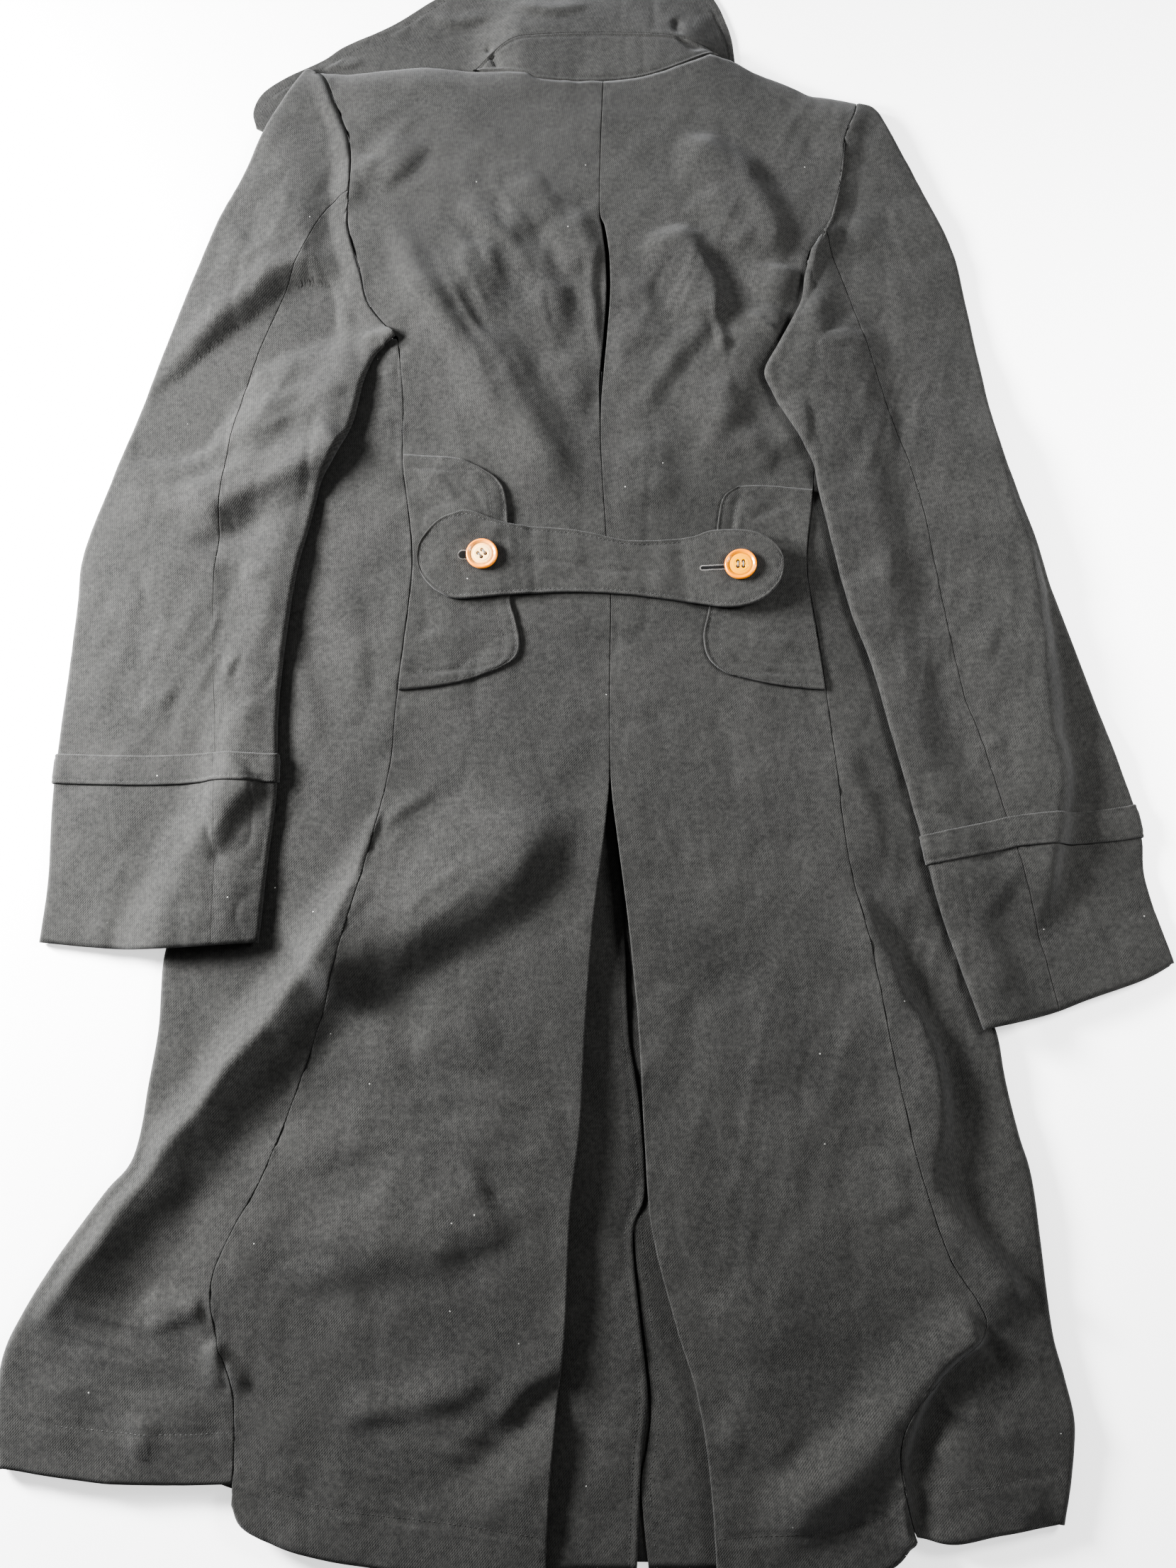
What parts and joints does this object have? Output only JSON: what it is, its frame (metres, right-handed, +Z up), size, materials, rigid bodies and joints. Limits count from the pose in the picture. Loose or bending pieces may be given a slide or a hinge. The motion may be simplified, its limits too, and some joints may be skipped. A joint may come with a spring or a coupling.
{
  "type": "trench coat",
  "caption": "Dark cotton twill trench coat laid flat, front down and back up, with turned-out collar, back half belt, side tabs, sleeve straps and an open back vent.",
  "frame": {"origin": "middle of the laid coat's footprint, on the surface it lies on", "axes": "+X towards the wearer's right sleeve, +Y towards the collar, +Z up from the surface, out of the coat's back"},
  "size_m": [0.7279, 1.135, 0.024],
  "materials": {
    "twill": "dark charcoal navy cotton twill, matt, with a fine diagonal rib",
    "button": "polished copper brown, slightly marbled"
  },
  "bodies": {
    "root": {"back_left": "twill", "back_right": "twill", "side_panel_left": "twill", "side_panel_right": "twill", "front_left": "twill", "front_right": "twill", "top_sleeve_left": "twill", "top_sleeve_right": "twill", "under_sleeve_left": "twill", "under_sleeve_right": "twill", "cuff_band_left": "twill", "cuff_band_right": "twill", "side_tab_left": "twill", "side_tab_right": "twill", "vent_underlay_left": "twill", "vent_underlay_right": "twill", "pleat_underlay": "twill", "collar_stand": "twill", "collar_leaf": "twill", "half_belt": "twill", "button_left": "button", "button_right": "button"}
  },
  "joints": []
}
